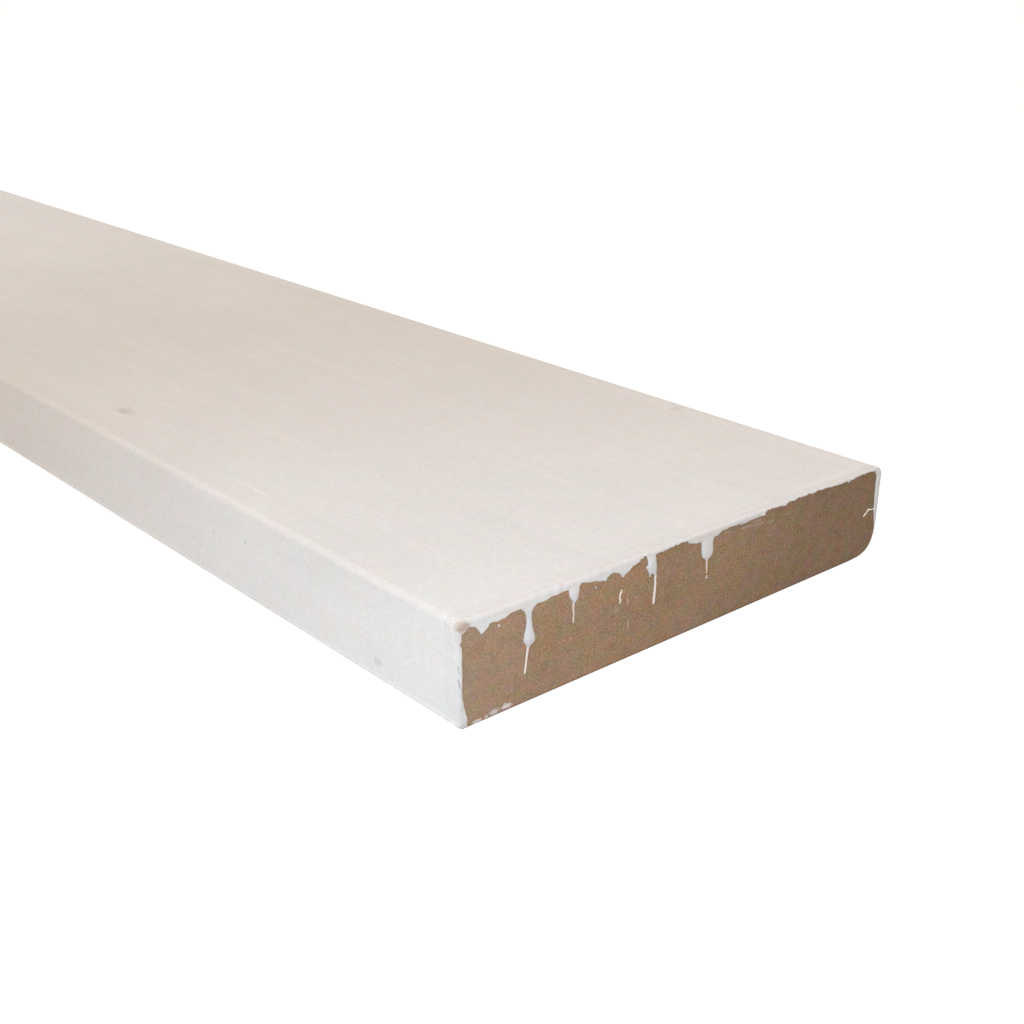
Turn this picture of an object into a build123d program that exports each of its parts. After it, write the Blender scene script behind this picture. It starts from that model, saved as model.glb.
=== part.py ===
from build123d import *
import os

# Primed MDF header trim: one straight board, sawn square at both ends, with one constant section.
# X runs along the length, Y across the wide faces and Z up through the thickness.
# The origin is at the middle of the wide face that the board lies on.

# Driving dimensions, in millimetres
length = 2438.4  # an 8 ft stick
width = 139.7  # 5 1/2 in across the wide faces
thickness = 23.8125  # 15/16 in
square_edge_radius = 1.6  # both arrises of the square edge, at -Y
shoulder_radius = 2.4  # upper arris of the eased edge, at +Y
ease_width = 10.0  # run of the soft round along the lying face
ease_height = 9.5  # run of the soft round up the eased edge
ease_fullness = 0.78  # 0.55 is a quarter ellipse; towards 1 the round turns later and tighter

# Board: the section is drawn looking along the length, then carried the same way to both ends
with BuildPart() as header_board:
    with BuildSketch(Plane.YZ) as section:
        with BuildLine():
            lying_face = Line((-width / 2, 0), (width / 2 - ease_width, 0))
            soft_round = Bezier(
                lying_face @ 1,
                (width / 2 - ease_width * (1 - ease_fullness), 0),
                (width / 2, ease_height * (1 - ease_fullness)),
                (width / 2, ease_height),
            )
            Polyline(
                soft_round @ 1,
                (width / 2, thickness),
                (-width / 2, thickness),
                lying_face @ 0,
            )
        make_face()
        square_edge = section.vertices().group_by(Axis.X)[0]
        fillet(square_edge, square_edge_radius)
        shoulder = section.vertices().group_by(Axis.X)[-1].sort_by(Axis.Y)[-1]
        fillet(shoulder, shoulder_radius)
    extrude(amount=length / 2, both=True)
header_board.part.label = "header_board"

os.makedirs("parts", exist_ok=True)
export_step(header_board.part, "parts/header_board.step")
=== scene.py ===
import math
import bpy
import numpy as np
from mathutils import Matrix, Vector


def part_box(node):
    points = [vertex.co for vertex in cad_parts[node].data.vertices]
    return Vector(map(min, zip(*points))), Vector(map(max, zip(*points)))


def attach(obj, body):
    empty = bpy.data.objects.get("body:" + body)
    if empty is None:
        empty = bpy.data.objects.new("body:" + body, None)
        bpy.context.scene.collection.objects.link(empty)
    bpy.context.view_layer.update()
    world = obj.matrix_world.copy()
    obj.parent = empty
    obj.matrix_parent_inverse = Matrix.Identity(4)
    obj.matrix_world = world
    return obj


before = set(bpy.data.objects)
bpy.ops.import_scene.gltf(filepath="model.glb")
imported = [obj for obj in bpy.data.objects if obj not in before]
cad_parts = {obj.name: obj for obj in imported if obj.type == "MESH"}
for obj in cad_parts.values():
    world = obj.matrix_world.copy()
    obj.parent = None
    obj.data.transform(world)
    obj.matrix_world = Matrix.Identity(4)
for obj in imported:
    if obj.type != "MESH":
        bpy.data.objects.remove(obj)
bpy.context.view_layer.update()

mm = 0.001
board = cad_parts["header_board"]
boardLow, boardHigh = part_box("header_board")
boardWide = (boardHigh.y - boardLow.y) / mm
boardThick = (boardHigh.z - boardLow.z) / mm
print("frame: board section %.1f x %.2f mm" % (boardWide, boardThick))


# a place on the board in mm: back from the near end, across from the square edge, up from the lying face
def spot(back, across, up):
    return (boardHigh.x - back * mm, boardLow.y + across * mm, boardLow.z + up * mm)


# short ways to add and join shader nodes

def addNode(tree, kind, links=None, **settings):
    made = tree.nodes.new(kind)
    for key, value in settings.items():
        setattr(made, key, value)
    for key, value in (links or {}).items():
        if isinstance(value, bpy.types.NodeSocket):
            tree.links.new(value, made.inputs[key])
        else:
            made.inputs[key].default_value = value
    return made


def maths(tree, operation, a, b=0.0, c=0.0):
    return addNode(tree, "ShaderNodeMath", {0: a, 1: b, 2: c}, operation=operation).outputs[0]


def vectorMaths(tree, operation, a, b=(0.0, 0.0, 0.0)):
    return addNode(tree, "ShaderNodeVectorMath", {0: a, 1: b}, operation=operation).outputs[0]


def mixColour(tree, factor, a, b, blend="MIX"):
    links = {0: factor, 6: a, 7: b}
    return addNode(tree, "ShaderNodeMix", links, data_type="RGBA", blend_type=blend).outputs[2]


def noise(tree, vector, scale, detail=2.0, roughness=0.5):
    links = {"Vector": vector, "Scale": scale, "Detail": detail, "Roughness": roughness}
    return addNode(tree, "ShaderNodeTexNoise", links).outputs[0]


# smooth step of a value from one range to another
def easeRange(tree, value, low, high, toLow=0.0, toHigh=1.0):
    links = {0: value, 1: low, 2: high, 3: toLow, 4: toHigh}
    return addNode(tree, "ShaderNodeMapRange", links, interpolation_type="SMOOTHSTEP").outputs[0]


# sum of (value - 0.5) * share, so noises move a tone up and down about its middle
def swing(tree, parts):
    total = 0.0
    for value, share in parts:
        total = maths(tree, "MULTIPLY_ADD", maths(tree, "SUBTRACT", value, 0.5), share, total)
    return total


def newGroup(name, inputs, outputs):
    group = bpy.data.node_groups.new(name, "ShaderNodeTree")
    for label, kind in inputs:
        group.interface.new_socket(name=label, in_out="INPUT", socket_type="NodeSocket" + kind)
    for label, kind in outputs:
        group.interface.new_socket(name=label, in_out="OUTPUT", socket_type="NodeSocket" + kind)
    given = group.nodes.new("NodeGroupInput").outputs
    result = group.nodes.new("NodeGroupOutput").inputs
    return group, given, result


def useGroup(tree, group, links):
    return addNode(tree, "ShaderNodeGroup", links, node_tree=group)


markLook = {
    "fraySize": 2600.0,  # noise scale, per metre
    "rim": (0.45, 1.0),  # fades out between these shares of its half size
}


# soft-edged stain, scratch or bare patch: an ellipsoid with a frayed rim
def makeSoftMark():
    inputs = [("Vector", "Vector"), ("Centre", "Vector"), ("HalfSize", "Vector"), ("Fray", "Float")]
    group, given, result = newGroup("softMark", inputs, [("Mask", "Float")])
    offset = vectorMaths(group, "SUBTRACT", given["Vector"], given["Centre"])
    offset = vectorMaths(group, "DIVIDE", offset, given["HalfSize"])
    reach = addNode(group, "ShaderNodeVectorMath", {0: offset}, operation="LENGTH").outputs["Value"]
    rough = maths(group, "SUBTRACT", noise(group, given["Vector"], markLook["fraySize"], 4.0, 0.7), 0.5)
    reach = maths(group, "MULTIPLY_ADD", rough, given["Fray"], reach)
    group.links.new(easeRange(group, reach, *markLook["rim"], 1.0, 0.0), result["Mask"])
    return group


hueSpan = (0.32, 0.68)  # the part of a noise over which a hue turns


skinLook = {
    "cloudScale": 22.0,  # noise scales, per metre
    "flowScale": (7.0, 240.0, 240.0),  # drawn out along the board
    "peelScale": 430.0,
    "grainScale": 1900.0,
    "redScale": 190.0,
    "warmScale": 170.0,
    "redShift": (3.1, 1.7, 0.4),  # so that the hues don't follow the other noises
    "warmShift": (0.9, 2.6, 3.3),
    "cloudShare": 0.45,  # shares in the mottle
    "flowShare": 0.3,
    "peelShare": 0.35,
    "grainShare": 1.0,
    "greenToPink": ((0.985, 1.008, 1.0, 1), (1.016, 0.99, 1.0, 1)),
    "blueToYellow": ((1.0, 1.0, 1.02, 1), (1.0, 1.0, 0.98, 1)),
    "roughness": (0.6, 0.72),
    "grainHeight": 0.3,
}


# factory primer: cloudy tone, faint streaks along the board, orange peel and fine grain
def makePrimerSkin():
    inputs = [("Vector", "Vector"), ("Tint", "Color"), ("Mottle", "Float")]
    outputs = [("Color", "Color"), ("Roughness", "Float"), ("Height", "Float")]
    group, given, result = newGroup("primerSkin", inputs, outputs)
    place = given["Vector"]
    cloud = noise(group, place, skinLook["cloudScale"], 3.0)
    drawn = vectorMaths(group, "MULTIPLY", place, skinLook["flowScale"])
    flow = noise(group, drawn, 1.0, 3.0)
    peel = noise(group, place, skinLook["peelScale"])
    grain = noise(group, place, skinLook["grainScale"])
    shifted = vectorMaths(group, "ADD", place, skinLook["redShift"])
    red = noise(group, shifted, skinLook["redScale"], 4.0)
    shifted = vectorMaths(group, "ADD", place, skinLook["warmShift"])
    warm = noise(group, shifted, skinLook["warmScale"], 4.0)
    tone = swing(group, [
        (cloud, skinLook["cloudShare"]),
        (flow, skinLook["flowShare"]),
        (peel, skinLook["peelShare"]),
        (grain, skinLook["grainShare"]),
    ])
    tone = maths(group, "MULTIPLY_ADD", tone, given["Mottle"], 1.0)
    redness = mixColour(group, easeRange(group, red, *hueSpan), *skinLook["greenToPink"])
    warmth = mixColour(group, easeRange(group, warm, *hueSpan), *skinLook["blueToYellow"])
    colour = mixColour(group, 1.0, given["Tint"], redness, "MULTIPLY")
    colour = mixColour(group, 1.0, colour, warmth, "MULTIPLY")
    colour = mixColour(group, 1.0, colour, tone, "MULTIPLY")
    group.links.new(colour, result["Color"])
    group.links.new(easeRange(group, cloud, 0.3, 0.7, *skinLook["roughness"]), result["Roughness"])
    height = maths(group, "MULTIPLY_ADD", grain, skinLook["grainHeight"], peel)
    group.links.new(height, result["Height"])
    return group


fibreLook = {
    "lying": (1.0, 0.55, 1.0),  # drawn out across the board
    "fleckLying": (1.0, 0.35, 1.0),
    "bundleScale": 2700.0,  # noise scales, per metre
    "clumpScale": 520.0,
    "blotchScale": 70.0,
    "fleckScale": 3000.0,
    "pitScale": 1900.0,
    "redScale": 420.0,
    "greyScale": 390.0,
    "redShift": (0.7, 2.3, 1.9),
    "greyShift": (1.4, 0.6, 2.8),
    "clumpShare": 0.5,  # shares in the tone
    "blotchShare": 0.3,
    "fleckShare": 0.4,
    "darkToPale": ((0.275, 0.174, 0.104, 1), (0.455, 0.303, 0.192, 1)),
    "oliveToRust": ((0.91, 1.045, 0.97, 1), (1.09, 0.955, 1.0, 1)),
    "yellowToGrey": ((1.0, 1.0, 0.84, 1), (1.0, 1.0, 1.16, 1)),
    "pit": (0.12, 0.085, 0.06, 1),
    "pitStrength": 0.6,
    "straw": (0.58, 0.44, 0.33, 1),
    "strawStrength": 0.4,
    "roughness": (0.95, 0.8),
    "fleckHeight": 0.4,
}


# sawn fibreboard: fibre bundles pressed flat along the wide faces, reddish and olive, with specks
def makeFibreboard():
    inputs = [("Vector", "Vector"), ("Shade", "Float")]
    outputs = [("Color", "Color"), ("Roughness", "Float"), ("Height", "Float")]
    group, given, result = newGroup("fibreboard", inputs, outputs)
    place = given["Vector"]
    lying = vectorMaths(group, "MULTIPLY", place, fibreLook["lying"])
    bundle = noise(group, lying, fibreLook["bundleScale"], 4.0, 0.7)
    clump = noise(group, lying, fibreLook["clumpScale"], 3.0, 0.6)
    blotch = noise(group, lying, fibreLook["blotchScale"], 3.0)
    shifted = vectorMaths(group, "ADD", lying, fibreLook["redShift"])
    red = noise(group, shifted, fibreLook["redScale"], 5.0, 0.6)
    shifted = vectorMaths(group, "ADD", lying, fibreLook["greyShift"])
    grey = noise(group, shifted, fibreLook["greyScale"], 5.0, 0.6)
    fleckPlace = vectorMaths(group, "MULTIPLY", place, fibreLook["fleckLying"])
    fleck = noise(group, fleckPlace, fibreLook["fleckScale"])
    tan = mixColour(group, easeRange(group, bundle, 0.28, 0.72), *fibreLook["darkToPale"])
    redness = mixColour(group, easeRange(group, red, *hueSpan), *fibreLook["oliveToRust"])
    greyness = mixColour(group, easeRange(group, grey, *hueSpan), *fibreLook["yellowToGrey"])
    colour = mixColour(group, 1.0, tan, redness, "MULTIPLY")
    colour = mixColour(group, 1.0, colour, greyness, "MULTIPLY")
    tone = swing(group, [
        (clump, fibreLook["clumpShare"]),
        (blotch, fibreLook["blotchShare"]),
        (fleck, fibreLook["fleckShare"]),
    ])
    tone = maths(group, "MULTIPLY", maths(group, "ADD", tone, 1.0), given["Shade"])
    colour = mixColour(group, 1.0, colour, tone, "MULTIPLY")
    pit = easeRange(group, noise(group, lying, fibreLook["pitScale"], 1.0), 0.3, 0.22)
    pit = maths(group, "MULTIPLY", pit, fibreLook["pitStrength"])
    colour = mixColour(group, pit, colour, fibreLook["pit"])
    straw = easeRange(group, fleck, 0.66, 0.76)
    straw = maths(group, "MULTIPLY", straw, fibreLook["strawStrength"])
    colour = mixColour(group, straw, colour, fibreLook["straw"])
    group.links.new(colour, result["Color"])
    group.links.new(easeRange(group, bundle, 0.3, 0.7, *fibreLook["roughness"]), result["Roughness"])
    height = maths(group, "MULTIPLY_ADD", fleck, fibreLook["fleckHeight"], bundle)
    group.links.new(height, result["Height"])
    return group


softMark = makeSoftMark()
primerSkin = makePrimerSkin()
fibreboard = makeFibreboard()
print("node groups: primer skin, fibreboard, soft mark")


def newMaterial(name):
    material = bpy.data.materials.new(name)
    material.use_nodes = True
    tree = material.node_tree
    place = addNode(tree, "ShaderNodeTexCoord").outputs["Object"]
    return material, tree, tree.nodes["Principled BSDF"], place


def addBump(tree, shader, height, depth):
    bump = addNode(tree, "ShaderNodeBump", {"Height": height, "Distance": depth})
    tree.links.new(bump.outputs["Normal"], shader.inputs["Normal"])


# lays each mark over a colour: centre (back, across, up) and half size in mm, fray, paint and strength
def addMarks(tree, place, colour, marks):
    for centre, half, fray, paint, strength in marks:
        links = {"Vector": place, "Centre": spot(*centre), "HalfSize": [h * mm for h in half], "Fray": fray}
        mask = useGroup(tree, softMark, links).outputs["Mask"]
        colour = mixColour(tree, maths(tree, "MULTIPLY", mask, strength), colour, (*paint, 1))
    return colour


primerFinish = {
    "tint": (0.80, 0.785, 0.765, 1),
    "arrisHighlightTint": (0.815, 0.768, 0.732, 1),  # painted warm highlight along the upper square arris, by across plus depth
    "arrisReach": (0.9, 2.1),
    "footLightTint": (0.93, 0.91, 0.89, 1),  # painted light that whitens the lower square arris, by across plus up
    "footReach": (0.9, 2.2),
    "mottle": 0.25,
    "peelDepth": 0.018 * mm,
    "shine": 0.04,
    "endShade": 0.9,  # tone of the fibre on the two cuts
    "endFacing": 0.7,  # least share by which a cut faces along the board
    "marks": [
        ((161.2, 12.6, 24), (3.2, 1.9, 2), 1.0, (0.4, 0.39, 0.33), 0.23),  # dark smudge by the square edge
        ((160.8, 12.9, 24), (6.0, 3.2, 2), 1.2, (0.43, 0.41, 0.35), 0.18),
        ((87.2, 8.45, 24), (10.5, 0.4, 1), 0.6, (0.93, 0.9, 0.885), 0.75),  # light scratch along the board
        ((65.4, 133.8, 24), (2.1, 2.4, 2), 0.6, (0.46, 0.46, 0.38), 0.2),  # faint spot by the eased edge
        ((78.2, 0, 15.0), (0.8, 1, 0.6), 0.5, (0.4, 0.38, 0.36), 0.35),  # specks on the square edge
        ((26.5, 0, 4.6), (1.9, 1, 1.2), 0.5, (0.42, 0.42, 0.42), 0.28),
        ((92.6, 0, 12.9), (0.7, 1, 0.5), 0.5, (0.4, 0.38, 0.36), 0.25),
    ],
}


# tint of the coat by place: a painted warm highlight along the upper square arris, and painted light that
# whitens the lower one
def makeCoatTintAndLight():
    group, given, result = newGroup("coatTintAndLight", [("Vector", "Vector")], [("Color", "Color")])
    apart = addNode(group, "ShaderNodeSeparateXYZ", {0: given["Vector"]}).outputs
    across = maths(group, "DIVIDE", maths(group, "SUBTRACT", apart["Y"], boardLow.y), mm)
    up = maths(group, "DIVIDE", maths(group, "SUBTRACT", apart["Z"], boardLow.z), mm)
    fromUpper = maths(group, "ADD", across, maths(group, "SUBTRACT", boardThick, up))
    fromLower = maths(group, "ADD", across, up)
    # painted warm highlight along the upper square arris
    clear = easeRange(group, fromUpper, *primerFinish["arrisReach"])
    colour = mixColour(group, clear, primerFinish["arrisHighlightTint"], primerFinish["tint"])
    # painted light that whitens the lower square arris
    clear = easeRange(group, fromLower, *primerFinish["footReach"])
    group.links.new(mixColour(group, clear, primerFinish["footLightTint"], colour), result["Color"])
    return group


coatTintAndLight = makeCoatTintAndLight()


def makePrimerCoat():
    material, tree, shader, place = newMaterial("primerCoat")
    tint = useGroup(tree, coatTintAndLight, {"Vector": place}).outputs["Color"]
    links = {"Vector": place, "Tint": tint, "Mottle": primerFinish["mottle"]}
    skin = useGroup(tree, primerSkin, links).outputs
    colour = addMarks(tree, place, skin["Color"], primerFinish["marks"])
    raw = useGroup(tree, fibreboard, {"Vector": place, "Shade": primerFinish["endShade"]}).outputs
    normal = addNode(tree, "ShaderNodeNewGeometry").outputs["Normal"]
    facing = addNode(tree, "ShaderNodeSeparateXYZ", {0: normal}).outputs["X"]
    sawn = maths(tree, "GREATER_THAN", maths(tree, "ABSOLUTE", facing), primerFinish["endFacing"])
    tree.links.new(mixColour(tree, sawn, colour, raw["Color"]), shader.inputs["Base Color"])
    tree.links.new(skin["Roughness"], shader.inputs["Roughness"])
    shader.inputs["Specular IOR Level"].default_value = primerFinish["shine"]
    addBump(tree, shader, skin["Height"], primerFinish["peelDepth"])
    return material


sawnFinish = {
    "toneAndShadeNear": 1.05,  # tone at the square edge and at the eased edge: darker towards the eased edge, partly the fibre's own tone, partly painted shade
    "toneAndShadeFar": 0.625,
    "reliefDepth": 0.02 * mm,
    "shine": 0.2,
    "footPaintedShade": 0.8,  # painted shade along the lower arris: its tone, and its height
    "footHigh": 0.7 * mm,
    "marks": [
        ((0, 47.5, 13.9), (2, 0.5, 1.1), 1.2, (0.56, 0.47, 0.41), 0.5),  # wiped paint under the lap
        ((0, 47.9, 8.2), (2, 0.45, 1.6), 1.4, (0.54, 0.45, 0.39), 0.4),
        ((0, 44.0, 12.9), (2, 1.0, 0.7), 1.4, (0.5, 0.41, 0.35), 0.35),
        ((0, 87.0, 21.0), (2, 3.4, 0.24), 0.9, (0.52, 0.48, 0.44), 0.5),  # pale scuffs along the lap
        ((0, 91.4, 20.5), (2, 2.8, 0.24), 0.9, (0.52, 0.48, 0.44), 0.5),
        ((0, 95.6, 20.1), (2, 2.2, 0.24), 0.9, (0.5, 0.45, 0.4), 0.4),
        ((0, 90.4, 21.5), (2, 2.2, 0.6), 2.2, (0.46, 0.41, 0.36), 0.35),
        ((0, 95.6, 16.5), (2, 1.4, 0.22), 0.9, (0.5, 0.45, 0.4), 0.35),
        ((0, 101.4, 20.4), (2, 2.2, 0.24), 0.9, (0.46, 0.4, 0.35), 0.3),
        ((0, 79.7, 21.5), (2, 1.5, 0.3), 1.2, (0.55, 0.48, 0.42), 0.4),
        ((0, 5.0, 11.0), (2, 19, 18), 0.3, (0.58, 0.42, 0.375), 0.1),  # paler by the square edge: partly the fibre's own tone, partly painted light
        ((0, 4.9, 0.4), (2, 1.5, 0.55), 2.6, (0.74, 0.7, 0.69), 0.8),  # wiped primer along the bottom edge
        ((0, 7.4, 0.55), (2, 0.5, 0.45), 2.4, (0.74, 0.7, 0.69), 0.75),
        ((0, 9.5, 0.9), (2, 1.5, 0.75), 3.0, (0.7, 0.67, 0.66), 0.75),
        ((0, 12.8, 1.0), (2, 1.8, 0.75), 3.0, (0.78, 0.74, 0.74), 0.85),
    ],
}


def makeSawnFibre():
    material, tree, shader, place = newMaterial("sawnFibre")
    apart = addNode(tree, "ShaderNodeSeparateXYZ", {0: place}).outputs
    # partly painted shade: the fibre darkens from the square edge to the eased edge
    nearShade, farShade = sawnFinish["toneAndShadeNear"], sawnFinish["toneAndShadeFar"]
    links = {0: apart["Y"], 1: boardLow.y, 2: boardHigh.y, 3: nearShade, 4: farShade}
    shade = addNode(tree, "ShaderNodeMapRange", links).outputs[0]
    # painted shade: darker along the lower arris
    footTop = boardLow.z + sawnFinish["footHigh"]
    foot = easeRange(tree, apart["Z"], boardLow.z, footTop, sawnFinish["footPaintedShade"], 1.0)
    shade = maths(tree, "MULTIPLY", shade, foot)
    raw = useGroup(tree, fibreboard, {"Vector": place, "Shade": shade}).outputs
    colour = addMarks(tree, place, raw["Color"], sawnFinish["marks"])
    tree.links.new(colour, shader.inputs["Base Color"])
    tree.links.new(raw["Roughness"], shader.inputs["Roughness"])
    shader.inputs["Specular IOR Level"].default_value = sawnFinish["shine"]
    addBump(tree, shader, raw["Height"], sawnFinish["reliefDepth"])
    return material


filmFinish = {
    # painted shade: the film on the end is greyer than the coat, for the lesser light that falls on the end
    "tint": (0.75, 0.735, 0.72, 1),
    "runShadeTint": (0.675, 0.665, 0.66, 1),  # painted shade: the runs lower down the end are greyer and a little cooler
    "runDepth": (1.9, 3.5),
    "whiterBelow": 1.5,  # by the square edge that painted shade starts this much lower
    "whiterAcross": (6.0, 9.5),
    "wrapTint": (0.715, 0.69, 0.67, 1),  # round the square edge
    "wrapAcross": (2.0, 3.5),
    "easedSideTint": (0.685, 0.665, 0.635, 1),  # darker and browner towards the eased edge
    "easedSideAcross": (50.0, 66.0),
    # painted warm highlight along the upper arris of the end
    "arrisHighlightTint": (0.765, 0.72, 0.69, 1),
    "arrisDepth": (0.1, 0.55),
    "blendBack": (0.3, 1.7),  # where it goes over into the coat of the long faces
    "blendSooner": 0.5,  # and on the edges this much nearer to the cut
    "edgeDepth": (0.8, 2.0),
    "mottle": 0.15,
    "peelDepth": 0.008 * mm,
    "shine": 0.08,
    "smoother": 0.1,  # how much less rough it is than the coat
    "bareCorner": ((-0.4, 1.1, 22.8), (2.5, 2.2, 1.6), 0.75),  # worn through to the fibre
    "bareShade": 1.25,
    "bareStrength": 0.7,
    # dark dashes down the square edge
    "dashes": [
        ((0, 0.0, 14.1), (1.0, 0.14, 0.6), 0.5, (0.2, 0.19, 0.2), 0.5),
        ((0, 0.12, 13.2), (1.0, 0.12, 0.5), 0.5, (0.2, 0.19, 0.2), 0.4),
        ((0, 0.08, 11.3), (1.0, 0.15, 0.6), 0.5, (0.2, 0.19, 0.2), 0.6),
        ((0, 0.22, 10.4), (1.0, 0.15, 0.7), 0.5, (0.2, 0.19, 0.2), 0.7),
        ((0, 0.38, 9.6), (1.0, 0.13, 0.6), 0.5, (0.2, 0.19, 0.2), 0.6),
    ],
    # thin warm tails below the runs, then single places
    "tails": [
        ((0, 18.0, 9.6), (2, 1.2, 4.2), 0.2, (0.87, 0.75, 0.68), 0.9),
        ((0, 31.1, 16.2), (2, 1.0, 3.2), 0.2, (0.72, 0.6, 0.52), 0.9),
        ((0, 45.1, 15.8), (2, 1.0, 2.6), 0.2, (0.86, 0.73, 0.61), 0.9),
        ((0, 55.9, 14.2), (2, 1.0, 5.2), 0.2, (0.84, 0.73, 0.65), 0.9),
        ((0, 73.2, 14.2), (2, 1.0, 3.6), 0.2, (0.67, 0.585, 0.49), 0.9),
        ((0, 135.2, 12.1), (2, 2.6, 1.6), 0.2, (0.96, 0.82, 0.7), 0.9),
        ((1.5, 140.2, 14.5), (5, 1.3, 11), 0.1, (0.7, 0.75, 0.81), 0.9),  # painted shade: cool strip where the film turns round the eased edge
        ((0, 92.3, 22.6), (2, 0.8, 0.4), 0.2, (0.96, 0.94, 0.9), 0.9),  # painted highlight along the lifted edge of the film
        ((3.2, 122, 24), (2.7, 22, 2), 0.3, (0.87, 0.86, 0.85), 0.5),  # thicker coat by the far corner
        ((0, 0.6, 20.4), (2, 1.3, 2.0), 0.6, (0.6, 0.56, 0.52), 0.45),  # soiled below the worn corner
    ],
}


def makePrimerFilm():
    material, tree, shader, place = newMaterial("primerFilm")
    apart = addNode(tree, "ShaderNodeSeparateXYZ", {0: place}).outputs
    across = maths(tree, "DIVIDE", maths(tree, "SUBTRACT", apart["Y"], boardLow.y), mm)
    depth = maths(tree, "DIVIDE", maths(tree, "SUBTRACT", boardHigh.z, apart["Z"]), mm)
    # darker and browner towards the eased edge
    towardsEased = easeRange(tree, across, *filmFinish["easedSideAcross"])
    tint = mixColour(tree, towardsEased, filmFinish["tint"], filmFinish["easedSideTint"])
    # painted shade on the runs that hang lower down the end
    lower = easeRange(tree, across, *filmFinish["whiterAcross"], filmFinish["whiterBelow"], 0.0)
    hanging = easeRange(tree, maths(tree, "SUBTRACT", depth, lower), *filmFinish["runDepth"])
    tint = mixColour(tree, hanging, tint, filmFinish["runShadeTint"])
    onEnd = easeRange(tree, across, *filmFinish["wrapAcross"])
    tint = mixColour(tree, onEnd, filmFinish["wrapTint"], tint)
    # painted warm highlight on the arris
    below = easeRange(tree, depth, *filmFinish["arrisDepth"])
    tint = mixColour(tree, below, filmFinish["arrisHighlightTint"], tint)
    links = {"Vector": place, "Tint": tint, "Mottle": filmFinish["mottle"]}
    skin = useGroup(tree, primerSkin, links).outputs
    plain = useGroup(tree, coatTintAndLight, {"Vector": place}).outputs["Color"]
    links = {"Vector": place, "Tint": plain, "Mottle": primerFinish["mottle"]}
    coat = useGroup(tree, primerSkin, links).outputs
    back = maths(tree, "SUBTRACT", boardHigh.x, maths(tree, "ABSOLUTE", apart["X"]))
    sooner = easeRange(tree, depth, *filmFinish["edgeDepth"], 0.0, filmFinish["blendSooner"])
    back = maths(tree, "ADD", maths(tree, "DIVIDE", back, mm), sooner)
    blend = easeRange(tree, back, *filmFinish["blendBack"])
    colour = mixColour(tree, blend, skin["Color"], coat["Color"])
    colour = addMarks(tree, place, colour, filmFinish["dashes"] + filmFinish["tails"])
    raw = useGroup(tree, fibreboard, {"Vector": place, "Shade": filmFinish["bareShade"]}).outputs
    centre, half, fray = filmFinish["bareCorner"]
    links = {"Vector": place, "Centre": spot(*centre), "HalfSize": [h * mm for h in half], "Fray": fray}
    bare = useGroup(tree, softMark, links).outputs["Mask"]
    bare = maths(tree, "MULTIPLY", bare, filmFinish["bareStrength"])
    tree.links.new(mixColour(tree, bare, colour, raw["Color"]), shader.inputs["Base Color"])
    roughness = maths(tree, "SUBTRACT", skin["Roughness"], filmFinish["smoother"])
    tree.links.new(roughness, shader.inputs["Roughness"])
    shader.inputs["Specular IOR Level"].default_value = filmFinish["shine"]
    addBump(tree, shader, skin["Height"], filmFinish["peelDepth"])
    return material


primerCoat = makePrimerCoat()
sawnFibre = makeSawnFibre()
primerFilm = makePrimerFilm()
board.data.materials.clear()
board.data.materials.append(primerCoat)
print("materials: primer coat on the board, sawn fibre, primer film")


# seeded ripples with about unit swing, for ragged edges and uneven surfaces
def ripple(seed, pitch, waves=16):
    rng = np.random.default_rng(seed)
    heading = rng.uniform(0, 2 * np.pi, waves)
    turns = 2 * np.pi / (pitch * rng.uniform(0.6, 1.7, waves))
    phase = rng.uniform(0, 2 * np.pi, waves)

    def at(u, v):
        total = np.zeros(np.shape(u))
        for a, k, p in zip(heading, turns, phase):
            total += np.cos(k * (math.cos(a) * u + math.sin(a) * v) + p)
        return total / math.sqrt(waves / 2)
    return at


# a line through points (along, value, value...), its corners rounded by a running mean
def softLine(points, blur, step=0.05):
    table = np.array(points, float)
    along = np.arange(table[0, 0], table[-1, 0] + step, step)
    count = max(1, int(round(blur / step)) // 2)
    kernel = np.hanning(2 * count + 3)[1:-1]
    kernel /= kernel.sum()
    columns = []
    for column in table.T[1:]:
        dense = np.interp(along, table[:, 0], column)
        padded = np.pad(dense, count, mode="edge")
        columns.append(np.convolve(padded, kernel, mode="valid"))
    return along, columns


# the board's own section at one end, in mm across and up, in order round the outline
def sectionRing(endX):
    ring = {(round((v.co.y - boardLow.y) / mm, 4), round((v.co.z - boardLow.z) / mm, 4))
            for v in board.data.vertices if abs(v.co.x - endX) < 1e-6}
    ring = np.array(sorted(ring))
    across, up = (ring - ring.mean(0)).T
    return ring[np.argsort(np.arctan2(up, across))]


# distance outside the section outline, the nearest place on it and the way out from there
def fromOutline(ring, across, up):
    nearest = np.full(across.shape, 1e9)
    foot = np.zeros((2,) + across.shape)
    way = np.zeros((2,) + across.shape)
    outside = np.full(across.shape, -1e9)
    for (a, b), (c, d) in zip(ring, np.roll(ring, -1, axis=0)):
        run, rise = c - a, d - b
        size = math.hypot(run, rise)
        outWay = (rise / size, -run / size)
        outside = np.maximum(outside, (across - a) * outWay[0] + (up - b) * outWay[1])
        share = np.clip(((across - a) * run + (up - b) * rise) / size ** 2, 0, 1)
        footAcross = a + share * run
        footUp = b + share * rise
        gap = np.hypot(across - footAcross, up - footUp)
        closer = gap < nearest
        nearest = np.where(closer, gap, nearest)
        foot = np.where(closer, [footAcross, footUp], foot)
        way = np.where(closer, np.array(outWay).reshape(2, *[1] * across.ndim), way)
    signed = np.where(outside > 0, nearest, -nearest)
    far = nearest > 1e-4
    radial = (np.array([across, up]) - foot) / np.where(far, signed, 1.0)
    return signed, foot, np.where(far, radial, way)


cutShare = (0.08, 0.92)  # keeps the cut points off the corners of the grid


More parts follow.
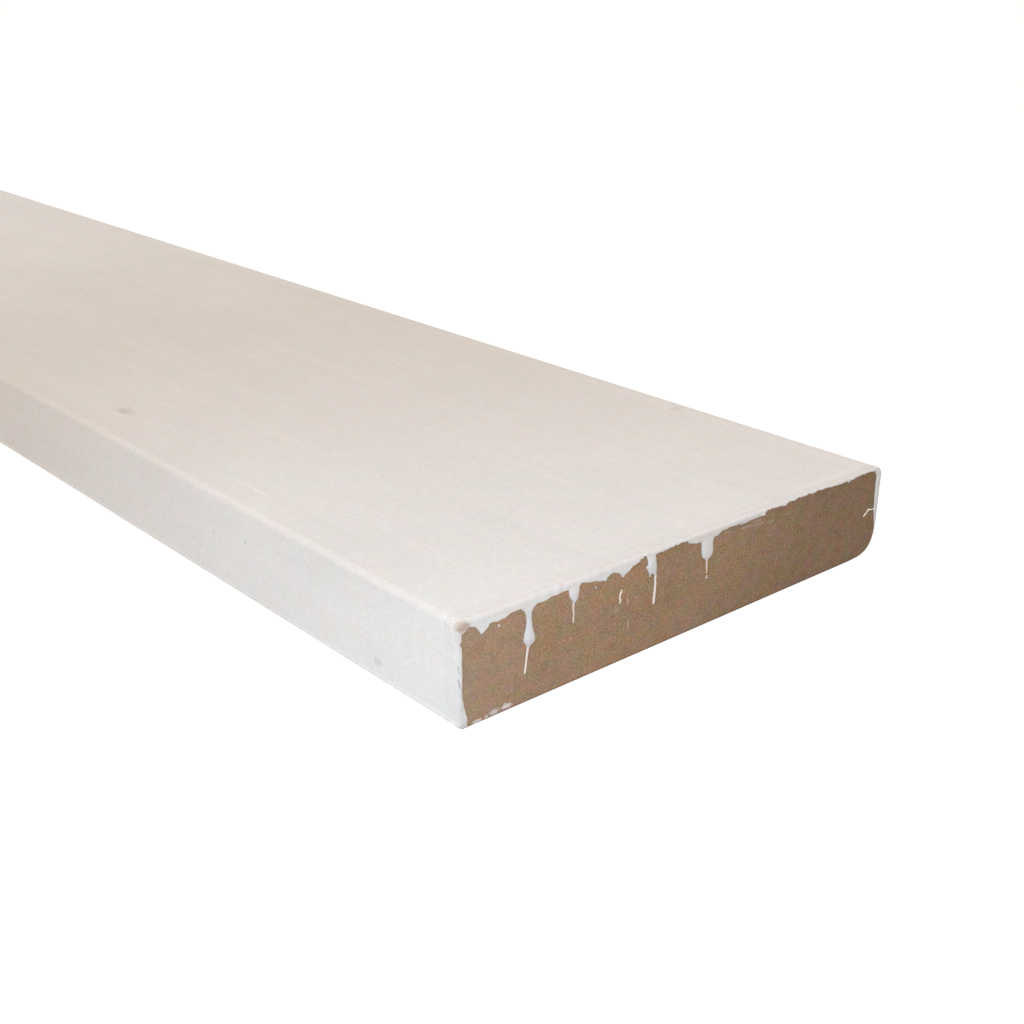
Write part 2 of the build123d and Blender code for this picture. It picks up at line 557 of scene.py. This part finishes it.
# cells of a grid where the field is above zero, cut along the line where it is zero
def cutSheet(acrossLine, upLine, field):
    inside = field > 0
    number = np.cumsum(inside).reshape(field.shape) - 1
    rows, cols = np.nonzero(inside)
    points = [tuple(p) for p in zip(acrossLine[cols], upLine[rows])]
    corners = [(0, 0), (0, 1), (1, 1), (1, 0)]
    tall, wide = field.shape
    stack = np.array([inside[r:tall - 1 + r, c:wide - 1 + c] for r, c in corners])
    whole = stack.all(0)
    faces = np.array([number[r:tall - 1 + r, c:wide - 1 + c][whole] for r, c in corners]).T.tolist()
    cuts = {}

    def cutBetween(a, b):
        key = (min(a, b), max(a, b))
        if key not in cuts:
            share = np.clip(field[key[0]] / (field[key[0]] - field[key[1]]), *cutShare)
            ends = [(acrossLine[c], upLine[r]) for r, c in key]
            cuts[key] = len(points)
            points.append(tuple(p + share * (q - p) for p, q in zip(*ends)))
        return cuts[key]

    for r, c in zip(*np.nonzero(stack.any(0) & ~whole)):
        ring = [(r + dr, c + dc) for dr, dc in corners]
        held = [bool(inside[n]) for n in ring]
        outline = []
        for k in range(4):
            here, after = ring[k], ring[(k + 1) % 4]
            if held[k]:
                outline.append(int(number[here]))
            if held[k] != held[(k + 1) % 4]:
                outline.append(cutBetween(here, after))
        if held in ([True, False, True, False], [False, True, False, True]):  # two corners that only touch
            first = 0 if held[0] else 1
            shift = outline if first == 0 else outline[1:] + outline[:1]
            faces.append([shift[-1], shift[0], shift[1]])
            faces.append([shift[2], shift[3], shift[4]])
        else:
            faces.append(outline)
    onCut = np.zeros(len(points), bool)
    onCut[len(rows):] = True
    return np.array(points), faces, onCut


# closes a sheet: top, sunk underside and the rim between them
def closedPiece(name, top, under, faces, flip, material):
    count = len(top)
    used = {}
    for face in faces:
        for a, b in zip(face, face[1:] + face[:1]):
            used[(a, b)] = True
    rim = [(a, b) for a, b in used if (b, a) not in used]
    shell = list(faces)
    shell += [[n + count for n in reversed(face)] for face in faces]
    shell += [[b, a, a + count, b + count] for a, b in rim]
    if flip:
        shell = [list(reversed(face)) for face in shell]
    mesh = bpy.data.meshes.new(name)
    mesh.from_pydata(np.vstack([top, under]).tolist(), [], shell)
    mesh.polygons.foreach_set("use_smooth", [True] * len(mesh.polygons))
    mesh.materials.append(material)
    mesh.update()
    piece = bpy.data.objects.new(name, mesh)
    bpy.context.scene.collection.objects.link(piece)
    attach(piece, "root")
    print("%s: %d faces" % (name, len(shell)))


# radius of the film's underside: full on the upper and square edges, tight at the eased one, least below
def arrisRadius(lap, foot, way):
    start, end = lap["easedAcross"]
    eased = np.clip((foot[0] - boardWide - start) / (end - start), 0, 1)
    below = np.clip((-way[1] - lap["belowFrom"]) / lap["belowRun"], 0, 1)
    radius = lap["arris"] + (lap["easedArris"] - lap["arris"]) * eased * eased * (3 - 2 * eased)
    return lap["leastArris"] + (radius - lap["leastArris"]) * (1 - below)


# lays flat points of the end plane on the board, folding what is outside the outline back round the arris
def foldOver(ring, endX, points, lift, lap):
    side = 1 if endX > 0 else -1
    out, foot, way = fromOutline(ring, *points.T)
    base, arris = lap["base"], arrisRadius(lap, foot, way)
    angle = np.clip((out + arris) / arris, 0, np.pi / 2)
    flat = out <= -arris
    along = np.where(flat, points.T, foot + way * (arris * (np.sin(angle) - 1)))
    along = along + way * np.where(flat, 0, lift * np.sin(angle))
    forward = -arris * (1 - np.cos(angle)) + (base + lift) * np.cos(angle)
    forward = np.where(out > arris * (np.pi / 2 - 1), -(out + arris * (2 - np.pi / 2)), forward)
    forward = np.where(flat, base + lift, forward)
    return np.array([endX + side * forward * mm, boardLow.y + along[0] * mm, boardLow.z + along[1] * mm]).T


# the sawn faces, in mm
sawnFace = {
    "step": 0.36,
    "margin": 0.5,  # of the grid round the section
    "inset": 0.06,  # the face stops this far inside the outline
    "fray": 0.6,  # share by which that varies
    "frayPitch": 1.2,
    "rise": 0.06,  # how far the fibre stands proud
    "riseLimits": (0.02, 0.12),
    "roughness": 0.01,
    "bundlePitch": 0.9,
    "bundleLying": 0.6,  # bundles are drawn out across the board
    "bundleShare": 0.7,
    "clumpPitch": 3.5,
    "clumpShare": 0.5,
    "rim": 0.01,
    "under": -0.4,  # the hidden back of the piece
}


def buildSawnFace(name, endX, seed):
    ring = sectionRing(endX)
    margin = sawnFace["margin"]
    acrossLine = np.arange(-margin, boardWide + margin, sawnFace["step"])
    upLine = np.arange(-margin, boardThick + margin, sawnFace["step"])
    across, up = np.meshgrid(acrossLine, upLine)
    out = fromOutline(ring, across, up)[0]
    fray = ripple(seed, sawnFace["frayPitch"])
    inset = sawnFace["inset"] * (1 + sawnFace["fray"] * fray(across, up))
    points, faces, onCut = cutSheet(acrossLine, upLine, -out - inset)
    bundle = ripple(seed + 1, sawnFace["bundlePitch"])
    clump = ripple(seed + 2, sawnFace["clumpPitch"])
    rough = sawnFace["bundleShare"] * bundle(points[:, 0] * sawnFace["bundleLying"], points[:, 1])
    rough = rough + sawnFace["clumpShare"] * clump(*points.T)
    lift = np.clip(sawnFace["rise"] + sawnFace["roughness"] * rough, *sawnFace["riseLimits"])
    lift = np.where(onCut, sawnFace["rim"], lift)

    def place(height):
        side = 1 if endX > 0 else -1
        forward = endX + side * height * mm
        return np.array([forward, boardLow.y + points[:, 0] * mm, boardLow.z + points[:, 1] * mm]).T

    under = place(np.full(len(points), sawnFace["under"]))
    closedPiece(name, place(lift), under, faces, endX < 0, sawnFibre)


buildSawnFace("sawn_face_near", boardHigh.x, 11)
buildSawnFace("sawn_face_far", boardLow.x, 21)


# primer lapped over the near end, all in mm: across from the square edge, depth below the upper face
nearLap = {
    "step": 0.17,  # of the grid on the end
    "fineMargin": 1.0,  # which goes on this far past the arris
    "foldStep": 0.5,  # of the grid on the long faces
    "foldReach": 5.0,  # how far the film goes back along the long faces
    "foldSpare": 1.2,  # of the grid behind the film
    "arris": 0.7,  # radius of the film's underside round the sharp arris
    "easedArris": 0.15,  # and at the eased edge
    "easedAcross": (-8.0, -1.0),  # stretch by the eased edge over which it tightens
    "leastArris": 0.02,  # where the outline faces down
    "belowFrom": 0.2,
    "belowRun": 0.6,
    "base": 0.05,
    "body": 0.28,  # film thickness on the end
    "bodyInset": 1.4,  # it is that thick from this far inside the outline
    "bodySwing": 0.1,
    "bridge": (0.02, 0.45),  # thickness at the arris: least, and share of the radius
    "rim": -0.03,  # the cut rim and the underside are sunk
    "under": -0.3,
    "sunk": 0.05,  # the film dips this far under the coat where it ends
    "fatEdge": 0.04,  # ridge behind the arris
    "fatEdgeBack": 2.8,  # how far back it stands
    "fatEdgeSwing": 0.5,
    "edgeBlur": 0.3,
    "edgeRoll": 0.35,  # the film's edge is rounded over this width
    "ragged": 0.055,  # waver of the edge
    "fineShare": 0.6,  # its fine teeth
    "wrapShare": 0.7,  # less round the two edges
    "edgePitch": 2.6,
    "finePitch": 0.75,
    "skinPitch": 3.2,
    "meet": 0.2,  # rounds the corner where a run meets the lap
    "trickleFray": 0.03,
    "dotHeight": 0.7,
    "seed": 31,
    # lower edge of the lap under the upper face: across, depth
    "topEdge": [
        (-6, 2.8), (0.4, 2.8), (1.9, 2.45), (2.3, 1.95), (2.9, 1.7), (4.3, 1.9), (4.6, 2.3), (4.9, 3),
        (5.45, 3.8), (5.9, 4.15), (6.2, 4.15), (6.85, 3.65), (7.65, 3.35), (8.05, 2.75), (8.45, 2.6),
        (9.65, 2.75), (12.05, 2.55), (13.65, 2), (15.65, 1.85),
        (17.25, 2.3), (19.7, 2.4), (20.7, 2.15), (23.1, 2.15), (24.9, 1.9), (27.6, 1.75), (29.7, 1.7),
        (32.6, 1.55), (33.5, 1.25), (35.75, 1.85), (37.45, 2.15), (40.3, 2.9), (40.55, 2.85),
        (40.8, 2.3), (41.2, 1.95), (41.9, 1.75), (42.9, 1.75), (43.8, 2), (44.6, 2.5), (45.1, 3.2),
        (45.45, 3.65), (45.75, 3.6), (46.3, 3.1), (47, 2.8), (48.4, 2), (49.85, 1.5), (50.6, 1.3),
        (50.9, 0.6), (51.45, 0.9), (51.95, 0.5), (52.75, 0.75),
        (55.95, 1.2), (59.15, 0.9), (61.35, 0.85), (62.15, 0.5), (62.75, 0.8), (63.6, 0.65),
        (64.8, 0.85), (65.9, 0.7), (66.6, 1.55), (68.4, 2.05), (70.7, 2.35), (74.8, 2.35), (76.2, 2.05),
        (77.8, 1.45), (79.4, 1.25), (84.2, 1.4), (88.2, 1.2), (92.6, 1.2), (93.55, 0.65), (96.15, 0.65),
        (98.45, 0.75), (100.35, 1.15), (101.35, 0.65), (107.15, 0.5), (114.15, 0.5), (118.15, 0.7),
        (122.1, 1), (124.1, 0.8), (125.2, 0.9), (125.7, 1.65), (126.3, 0.95), (128.6, 0.75),
        (132.1, 0.65), (135.5, 0.65), (137.35, 1.2), (146, 1.3),
    ],
    # width of the lap round the two edges: depth, width
    "squareEdge": [
        (-6, 0.9), (3.05, 0.9), (4.05, 0.9), (4.75, 0.6), (5.75, 1.05), (8.75, 1.0), (15.1, 1.0),
        (17.3, 1.2), (18.8, 1.55), (20.6, 1.95), (21.8, 2.3), (24.1, 2.45),
    ],
    "easedEdge": [
        (-6, 1.6), (1.1, 2), (3.7, 2.05), (7, 1.85), (11.4, 1.65), (12.5, 1.3), (14.3, 1), (16.1, 0.5),
        (17.8, 0.15), (23.7, 0.1),
    ],
    "squareFoot": 0.1,  # the film stops this far above the lying face
    "easedFoot": 3.0,
    "easedSide": 14.0,  # the eased edge's share of the outline
    # runs that hang from the lap: depth, left, right, fullness
    "runs": [
        [(1.4, 15.25, 21.3, 0.25), (2.2, 16.55, 20.5, 0.3), (2.8, 17.25, 19.8, 0.35),
         (3.5, 17.65, 19.4, 0.35), (4.6, 17.9, 19.3, 0.35), (6, 17.9, 19.45, 0.4), (7, 17.7, 19.6, 0.5),
         (8, 17.35, 19.9, 0.65), (9.2, 17.15, 20.25, 0.8), (9.9, 17.35, 20.3, 0.7),
         (10.4, 17.7, 20, 0.55), (10.8, 18.05, 19.2, 0.35), (11.3, 18.1, 18.75, 0.25),
         (13.2, 17.9, 18.4, 0.2), (15.05, 17.7, 18.2, 0.2), (16.65, 17.4, 18, 0.25),
         (17.25, 17.45, 17.8, 0.2)],
        [(1.15, 29.1, 33.3, 0.25), (1.85, 29.6, 32.7, 0.35), (3.05, 29.75, 32.6, 0.45),
         (3.95, 30.1, 32.45, 0.45), (4.55, 30.7, 32.1, 0.4), (4.95, 30.85, 31.7, 0.3),
         (5.25, 30.8, 31.4, 0.2), (6.25, 30.7, 31.3, 0.2), (7.75, 31, 31.45, 0.2),
         (9.05, 30.9, 31.4, 0.2), (9.95, 31.1, 31.4, 0.15)],
        [(0.5, 52.65, 56.35, 0.25), (1.2, 53, 55.65, 0.3), (1.9, 53.25, 55.85, 0.4),
         (2.9, 53.45, 56, 0.5), (3.25, 52.85, 56.1, 0.5), (3.55, 52.75, 56.2, 0.5),
         (4, 53.25, 56.25, 0.5), (4.7, 53.6, 56.2, 0.5), (5.2, 53.9, 56.2, 0.4), (5.5, 54.75, 56.2, 0.3),
         (5.9, 55.65, 56.25, 0.25), (8.4, 55.7, 56.35, 0.25), (10.7, 55.6, 56.3, 0.25),
         (12.6, 55.45, 56.2, 0.25), (13.2, 55.55, 55.9, 0.2)],
        [(1.05, 70, 75.8, 0.25), (2.05, 70.7, 75, 0.35), (3.35, 70.9, 74.75, 0.5),
         (5.05, 71.05, 74.95, 0.55), (6.05, 71.35, 74.8, 0.55), (6.65, 71.8, 74.4, 0.45),
         (7, 72.4, 73.8, 0.35), (7.35, 72.7, 73.3, 0.2), (9.25, 72.9, 73.45, 0.2),
         (10.55, 73.1, 73.45, 0.2), (10.85, 73.15, 73.4, 0.15)],
    ],
    # thin trickles and lifted bits: half width, thickness, then (across, depth)
    "trickles": [
        (0.24, 0.2, [(45.45, 6.65), (45.05, 7.45), (44.95, 8.35), (45.25, 8.9), (45, 9.45)]),
        (0.2, 0.18, [(54.15, 5), (54.2, 5.85)]),
        (0.21, 0.22, [(138.3, 11.55), (137.1, 11.45), (135.7, 11.05), (135.2, 11.65), (133.95, 12.45)]),
        (0.16, 0.3, [(84.2, 1.55), (88.2, 1.3), (92.2, 1.25)]),
        (0.24, 0.34, [(91.8, 1.15), (92.8, 1.25)]),
        (0.24, 0.2, [(73.35, 11.4), (73.35, 11.95)]),
    ],
    # splashes: across, depth, radius
    "dots": [(10.5, 3.75, 0.3), (37.45, 3.45, 0.25), (36.55, 8.55, 0.15)],
}


# a run of paint as a field and a thickness, domed across and rounded at its tip
def runField(run, across, depth, blur=0.35, above=1.0, tip=0.2):
    along, (left, right, full) = softLine(run, blur)
    lo = np.interp(depth, along, left)
    hi = np.interp(depth, along, right)
    half = (hi - lo) / 2
    off = np.abs(across - (lo + hi) / 2)
    field = np.minimum(half - off, np.minimum(along[-1] - depth, depth - along[0] + above))
    dome = np.sqrt(np.clip(1 - (off / np.maximum(half, 1e-6)) ** 2, 0, 1))
    return field, np.interp(depth, along, full) * dome * np.clip((along[-1] - depth) / tip, 0, 1)


# distance from a line with bends
def strokeDistance(points, across, depth):
    nearest = np.full(across.shape, 1e9)
    for (a, b), (c, d) in zip(points, points[1:]):
        run, rise = c - a, d - b
        share = np.clip(((across - a) * run + (depth - b) * rise) / (run ** 2 + rise ** 2), 0, 1)
        nearest = np.minimum(nearest, np.hypot(across - a - share * run, depth - b - share * rise))
    return nearest


nowhere = -9.0  # a field value well below zero


# the lap alone: its lower edge on the end, and its width round the two edges
def lapField(lap, across, up, out, foot, ragged):
    depth = boardThick - up
    along, (edge,) = softLine(lap["topEdge"], lap["edgeBlur"])
    slope = np.gradient(edge, along)
    steep = np.sqrt(1 + np.interp(across, along, slope) ** 2)
    field = (np.interp(across, along, edge) - depth) / steep + ragged
    atSquare = across < boardWide / 2
    atEased = (foot[0] > boardWide - lap["easedSide"]) & (foot[1] < boardThick - 0.01)
    sides = [
        ("squareEdge", "squareFoot", across, atSquare),
        ("easedEdge", "easedFoot", -out, atEased),
    ]
    for edgeKey, footKey, inset, atSide in sides:
        line = np.array(lap[edgeKey])
        wrap = np.interp(depth, line[:, 0], line[:, 1]) - inset + lap["wrapShare"] * ragged
        wrap = np.where(atSide, wrap, nowhere)
        field = np.maximum(field, np.minimum(wrap, up - lap[footKey] + ragged))
    return field


# runs, trickles and splashes, each as a field and a thickness
def dripFields(lap, across, depth, fineNoise):
    drips = []
    for run in lap["runs"]:
        drips.append(runField(run, across, depth))
    for half, full, points in lap["trickles"]:
        off = strokeDistance(points, across, depth) + lap["trickleFray"] * fineNoise(across, depth)
        drips.append((half - off, full * np.sqrt(np.clip(1 - (off / half) ** 2, 0, 1))))
    for centre, deep, radius in lap["dots"]:
        off = np.hypot(across - centre, depth - deep)
        dome = np.sqrt(np.clip(radius ** 2 - off ** 2, 0, None))
        drips.append((radius - off, lap["dotHeight"] * dome))
    return drips


# where the film is, as a field above zero, and how thick it is there
def filmField(lap, ring, across, up):
    out, foot, way = fromOutline(ring, across, up)
    depth = boardThick - up
    edgeNoise = ripple(lap["seed"], lap["edgePitch"])
    fineNoise = ripple(lap["seed"] + 1, lap["finePitch"])
    skinNoise = ripple(lap["seed"] + 2, lap["skinPitch"])
    ragged = lap["ragged"] * (edgeNoise(across, depth) + lap["fineShare"] * fineNoise(across, depth))
    field = lapField(lap, across, up, out, foot, ragged)
    arris = arrisRadius(lap, foot, way)
    least, share = lap["bridge"]
    bridge = least + share * arris  # just covers the sharp arris
    inward = np.clip(-out / lap["bodyInset"], 0, 1)
    body = bridge + (lap["body"] - bridge) * inward * inward * (3 - 2 * inward)
    body = body * (1 + lap["bodySwing"] * skinNoise(across, depth))
    roll = np.clip(field / lap["edgeRoll"], 0, 1)
    lift = body * np.sqrt(1 - (1 - roll) ** 2)
    meet = lap["meet"]
    for drip, thick in dripFields(lap, across, depth, fineNoise):
        field = np.maximum(field, drip)
        blend = np.clip(0.5 + (thick - lift) / meet, 0, 1)
        merged = lift + (thick - lift) * blend + meet / 2 * blend * (1 - blend)
        lift = np.where(drip > 0, merged, lift)

    # behind the arris the film thins out into the coat of the long faces
    reach = lap["foldReach"]
    gone = np.clip(out / reach, 0, 1)
    fade = 0.5 + 0.5 * np.cos(np.pi * gone)
    ridge = lap["fatEdge"] * np.exp(-(out - lap["fatEdgeBack"]) ** 2) * np.clip(out, 0, 1)
    ridge = ridge * arris / lap["arris"]
    ridge = ridge * np.clip(way[1], 0, 1)  # on the upper face alone
    ridge = ridge * (1 + lap["fatEdgeSwing"] * edgeNoise(across, depth))
    footing = np.where(foot[0] < boardWide / 2, lap["squareFoot"], lap["easedFoot"])
    folded = np.minimum(reach - out, foot[1] - footing + ragged)
    behind = out > 0
    field = np.where(behind, folded, field)
    folding = body * fade + ridge - lap["sunk"] * gone
    low = np.clip(foot[1] - footing, 0, 1)  # and runs out above the lying face
    lift = np.where(behind, folding * low - lap["sunk"] * (1 - low), lift)
    return field, lift


# grid lines along one side of the end: fine on the end itself, coarser where the film folds back
def foldLine(size, lap):
    margin = lap["fineMargin"]
    fine = np.arange(-margin, size + margin, lap["step"])
    reach = lap["foldReach"] + lap["foldSpare"]
    before = -np.arange(margin + lap["foldStep"], reach, lap["foldStep"])[::-1]
    after = np.arange(fine[-1] + lap["foldStep"], size + reach, lap["foldStep"])
    return np.concatenate([before, fine, after])


def buildLap(name, endX, lap):
    ring = sectionRing(endX)
    acrossLine, upLine = foldLine(boardWide, lap), foldLine(boardThick, lap)
    across, up = np.meshgrid(acrossLine, upLine)
    points, faces, onCut = cutSheet(acrossLine, upLine, filmField(lap, ring, across, up)[0])
    lift = filmField(lap, ring, *points.T)[1]
    out = fromOutline(ring, *points.T)[0]
    lift = np.where(onCut & (out <= 0), lap["rim"], lift)
    top = foldOver(ring, endX, points, lift, lap)
    under = foldOver(ring, endX, points, np.full(len(points), lap["under"]), lap)
    closedPiece(name, top, under, faces, endX < 0, primerFilm)


buildLap("primer_lap_near", boardHigh.x, nearLap)

# the unseen end: the same lap with a plain ragged edge and no runs
farLap = {
    **nearLap,
    "step": 0.3,
    "edgeRoll": 0.5,
    "ragged": 0.14,
    "seed": 51,
    "topEdge": [(-6, 1.2), (40, 1.5), (90, 1.1), (146, 1.4)],
    "squareEdge": [(-6, 1.1), (24, 1.5)],
    "easedEdge": [(-6, 1.6), (12, 1.5), (24, 0.4)],
    "squareFoot": 0.35,
    "runs": [],
    "trickles": [],
    "dots": [],
}
buildLap("primer_lap_far", boardLow.x, farLap)


floorSetup = {
    "half": 15.0,
    "under": 0.05 * mm,  # clear of the lying face
    "colour": (0.77, 0.76, 0.75, 1),
    "lit": 0.25,  # share of the lit paper, with its shadow, that the camera sees
    "glow": 0.9,
}


def buildFloor():
    half = floorSetup["half"]
    mesh = bpy.data.meshes.new("studioFloor")
    corners = [(-half, -half, 0), (half, -half, 0), (half, half, 0), (-half, half, 0)]
    mesh.from_pydata(corners, [], [(0, 1, 2, 3)])
    floor = bpy.data.objects.new("studioFloor", mesh)
    floor.location.z = boardLow.z - floorSetup["under"]
    bpy.context.scene.collection.objects.link(floor)
    material = bpy.data.materials.new("studioPaper")
    material.use_nodes = True
    tree = material.node_tree
    tree.nodes.remove(tree.nodes["Principled BSDF"])
    output = tree.nodes["Material Output"]
    paper = addNode(tree, "ShaderNodeBsdfDiffuse", {"Color": floorSetup["colour"]})
    # seen directly the paper is near white, and keeps part of the shadow
    black = addNode(tree, "ShaderNodeEmission", {"Strength": 0.0})
    links = {0: floorSetup["lit"], 1: black.outputs[0], 2: paper.outputs[0]}
    dim = addNode(tree, "ShaderNodeMixShader", links)
    glow = addNode(tree, "ShaderNodeEmission", {"Strength": floorSetup["glow"]})
    white = addNode(tree, "ShaderNodeAddShader", {0: dim.outputs[0], 1: glow.outputs[0]})
    path = addNode(tree, "ShaderNodeLightPath").outputs
    seen = maths(tree, "MAXIMUM", path["Is Camera Ray"], path["Is Transmission Ray"])
    mixed = addNode(tree, "ShaderNodeMixShader", {0: seen, 1: paper.outputs[0], 2: white.outputs[0]})
    tree.links.new(mixed.outputs[0], output.inputs["Surface"])
    mesh.materials.append(material)


lightSetup = {
    "roomColour": (0.714, 0.58, 0.468, 1),  # warm room light from all round
    "lampPlace": (1.487, -0.379, 0.412),  # cool lamp beside the camera, on the near end
    "lampAim": (1.258, -0.032, 0.012),
    "lampAngle": 64.6,  # degrees, fading from the middle to the rim
    "lampSize": 0.03,
    "lampColour": (0.578, 0.797, 1.0),
    "lampPower": 10.1,
    # cool strip lights on both sides of the rest of the board: middle along it, length, spread, power
    "strips": [(-0.48, 2.1, 50.0, 1.0), (0.77, 0.34, 22.0, 0.072)],
    "stripAway": 0.75,
    "stripHigh": 0.5,
    "stripWide": 0.3,
}


def addLamp(name, kind, place, aim, power):
    data = bpy.data.lights.new(name, kind)
    data.color = lightSetup["lampColour"]
    data.energy = power
    lamp = bpy.data.objects.new(name, data)
    turn = (Vector(aim) - Vector(place)).to_track_quat("-Z", "Y").to_matrix().to_4x4()
    lamp.matrix_world = Matrix.Translation(place) @ turn
    lamp.visible_camera = False
    bpy.context.scene.collection.objects.link(lamp)
    return data


def buildLights():
    world = bpy.data.worlds.new("studioRoom")
    bpy.context.scene.world = world
    world.use_nodes = True
    tree = world.node_tree
    room = tree.nodes["Background"]
    room.inputs["Color"].default_value = lightSetup["roomColour"]
    white = addNode(tree, "ShaderNodeBackground", {"Color": (1, 1, 1, 1), "Strength": 1.0})
    path = addNode(tree, "ShaderNodeLightPath").outputs
    seen = maths(tree, "MAXIMUM", path["Is Camera Ray"], path["Is Glossy Ray"])
    seen = maths(tree, "MAXIMUM", seen, path["Is Transmission Ray"])
    mixed = addNode(tree, "ShaderNodeMixShader", {0: seen, 1: room.outputs[0], 2: white.outputs[0]})
    tree.links.new(mixed.outputs[0], tree.nodes["World Output"].inputs["Surface"])

    place, aim = lightSetup["lampPlace"], lightSetup["lampAim"]
    lamp = addLamp("cameraLamp", "SPOT", place, aim, lightSetup["lampPower"])
    lamp.spot_size = math.radians(lightSetup["lampAngle"])
    lamp.spot_blend = 1.0
    lamp.shadow_soft_size = lightSetup["lampSize"]

    for middle, length, spread, power in lightSetup["strips"]:
        for away in (-lightSetup["stripAway"], lightSetup["stripAway"]):
            place = (middle, away, lightSetup["stripHigh"])
            strip = addLamp("stripLight", "AREA", place, (middle, 0, 0), power)
            strip.shape = "RECTANGLE"
            strip.size, strip.size_y = length, lightSetup["stripWide"]
            strip.spread = math.radians(spread)


cameraSetup = {
    "place": (1.40507, -0.22242, 0.14437),
    "yaw": 48.20,  # degrees
    "tilt": 67.98,
    "roll": 0.82,
    "lens": 48.92,
    "sensor": 36.0,
    "clip": 0.01,
}


def buildCamera():
    data = bpy.data.cameras.new("photoCamera")
    data.lens = cameraSetup["lens"]
    data.sensor_width = cameraSetup["sensor"]
    data.clip_start = cameraSetup["clip"]
    camera = bpy.data.objects.new("photoCamera", data)
    turn = Matrix.Rotation(math.radians(cameraSetup["yaw"]), 4, "Z")
    turn = turn @ Matrix.Rotation(math.radians(cameraSetup["tilt"]), 4, "X")
    turn = turn @ Matrix.Rotation(math.radians(cameraSetup["roll"]), 4, "Z")
    camera.matrix_world = Matrix.Translation(cameraSetup["place"]) @ turn
    bpy.context.scene.collection.objects.link(camera)
    bpy.context.scene.camera = camera


buildFloor()
buildLights()
buildCamera()
bpy.context.scene.view_settings.view_transform = "Standard"
print("floor, lights and camera in place")
